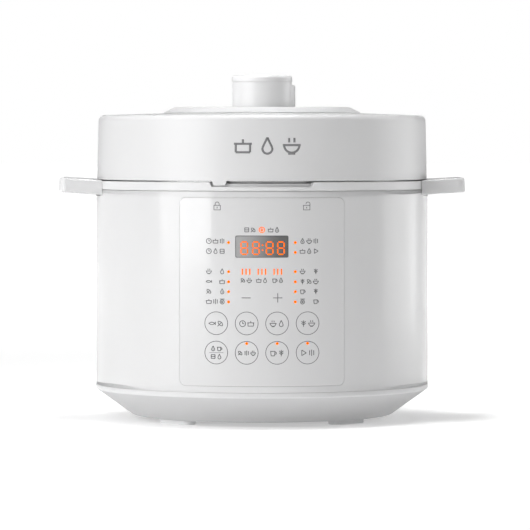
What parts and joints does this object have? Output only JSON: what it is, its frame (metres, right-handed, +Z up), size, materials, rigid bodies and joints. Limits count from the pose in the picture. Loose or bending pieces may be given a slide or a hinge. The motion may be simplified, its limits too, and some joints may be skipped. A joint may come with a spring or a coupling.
{
  "type": "electric pressure cooker",
  "caption": "Round electric pressure cooker with side ears, a front touch panel, a twist-lock lid with a knob and valves, a lift-out pot, heater and rear condensate cup.",
  "frame": {"origin": "pot axis at the height of the soles of the feet", "axes": "+Z up, -Y towards the front with the control panel, +X to the user's right, along the line through the two ears"},
  "size_m": [0.352, 0.3192, 0.2996],
  "materials": {
    "casing_gloss": "glossy pearl white",
    "casing_satin": "satin pearl white",
    "pan_plastic": "fine matt",
    "panel_gloss": "mirror gloss film",
    "display_window": "smoked gloss",
    "orange_lens": "lit orange",
    "black_plastic": "matt moulded",
    "grey_plastic": "matt moulded",
    "cup_clear": "clear moulded",
    "rubber_grey": "matt",
    "silicone": "satin translucent",
    "steel": "brushed",
    "screw_steel": "zinc plated",
    "brass_pins": "tinned",
    "pot_aluminium": "non-stick coated",
    "bare_aluminium": "satin",
    "circuit_board": "solder mask",
    "lead_insulation": "woven sleeve"
  },
  "bodies": {
    "base": {"base_pan": "pan_plastic", "base_screws": "screw_steel", "bottom_plate": "pan_plastic", "bottom_plate_screws": "screw_steel", "feet": "rubber_grey", "outer_shell": "casing_gloss", "rim_ring": "casing_satin", "handle_caps": "casing_satin", "control_panel": "panel_gloss", "display_lens": "display_window", "indicator_lenses": "orange_lens", "panel_carrier": "grey_plastic", "control_board": "circuit_board", "display_module": "black_plastic", "touch_springs": "steel", "light_guides": "orange_lens", "power_board": "circuit_board", "transformer": "black_plastic", "relay": "black_plastic", "ribbon_cable": "lead_insulation", "outer_pot": "steel", "outer_pot_screws": "screw_steel", "heating_plate": "bare_aluminium", "heating_element": "bare_aluminium", "heater_posts": "steel", "heater_leads": "lead_insulation", "sensor_bracket": "steel", "thermal_fuse": "lead_insulation", "pressure_switch": "black_plastic", "inlet_housing": "black_plastic", "inlet_pins": "brass_pins", "inlet_screws": "screw_steel", "mains_leads": "lead_insulation", "drain_spout": "grey_plastic", "cup_bracket": "grey_plastic", "lid_switch": "black_plastic"},
    "sensor": {"sensor_cap": "bare_aluminium", "sensor_spring": "steel"},
    "pot": {"inner_pot": "pot_aluminium"},
    "inner_lid": {"inner_lid_plate": "bare_aluminium", "sealing_ring": "silicone", "centre_grommet": "silicone"},
    "lid": {"lid_cover": "casing_satin", "lid_top_plate": "casing_satin", "lid_screws": "screw_steel", "pressure_lid": "steel", "lid_stud": "steel", "lid_nut": "steel", "knob": "casing_satin", "knob_cap": "casing_satin", "exhaust_pipe": "steel", "anti_clog_shield": "grey_plastic", "float_guide": "steel", "lid_magnet": "steel"},
    "steam_valve": {"steam_valve_cap": "casing_satin", "steam_valve_weight": "steel"},
    "float_valve": {"float_pin": "steel", "float_seal": "silicone"},
    "water_cup": {"water_cup": "cup_clear"}
  },
  "joints": [
    {"name": "lid_lift", "type": "slide", "parent": "base", "child": "inner_lid", "axis": [0, 0, 1], "range_m": [0, 0.3]},
    {"name": "lid_turn", "type": "hinge", "parent": "inner_lid", "child": "lid", "pos_m": [0, 0, 0.212], "axis": [0, 0, 1], "range_deg": [0, 29]},
    {"name": "pot_lift", "type": "slide", "parent": "base", "child": "pot", "axis": [0, 0, 1], "range_m": [0, 0.15]},
    {"name": "sensor_press", "type": "slide", "parent": "base", "child": "sensor", "axis": [0, 0, 1], "range_m": [-0.002, 0], "stiffness_N_per_m": 800, "springref_m": 0.003, "deforming": ["sensor_spring"]},
    {"name": "steam_valve_turn", "type": "hinge", "parent": "lid", "child": "steam_valve", "pos_m": [0.0136, 0.052, 0.28], "axis": [0, 0, 1], "range_deg": [-30, 0]},
    {"name": "float_rise", "type": "slide", "parent": "lid", "child": "float_valve", "axis": [0, 0, 1], "range_m": [0, 0.004]},
    {"name": "cup_slide", "type": "slide", "parent": "base", "child": "water_cup", "axis": [0, 1, 0], "range_m": [0, 0.04]}
  ],
  "couplings": [
    {"joint": "pot_lift", "follows": "lid_lift", "ratio": 0.5}
  ]
}
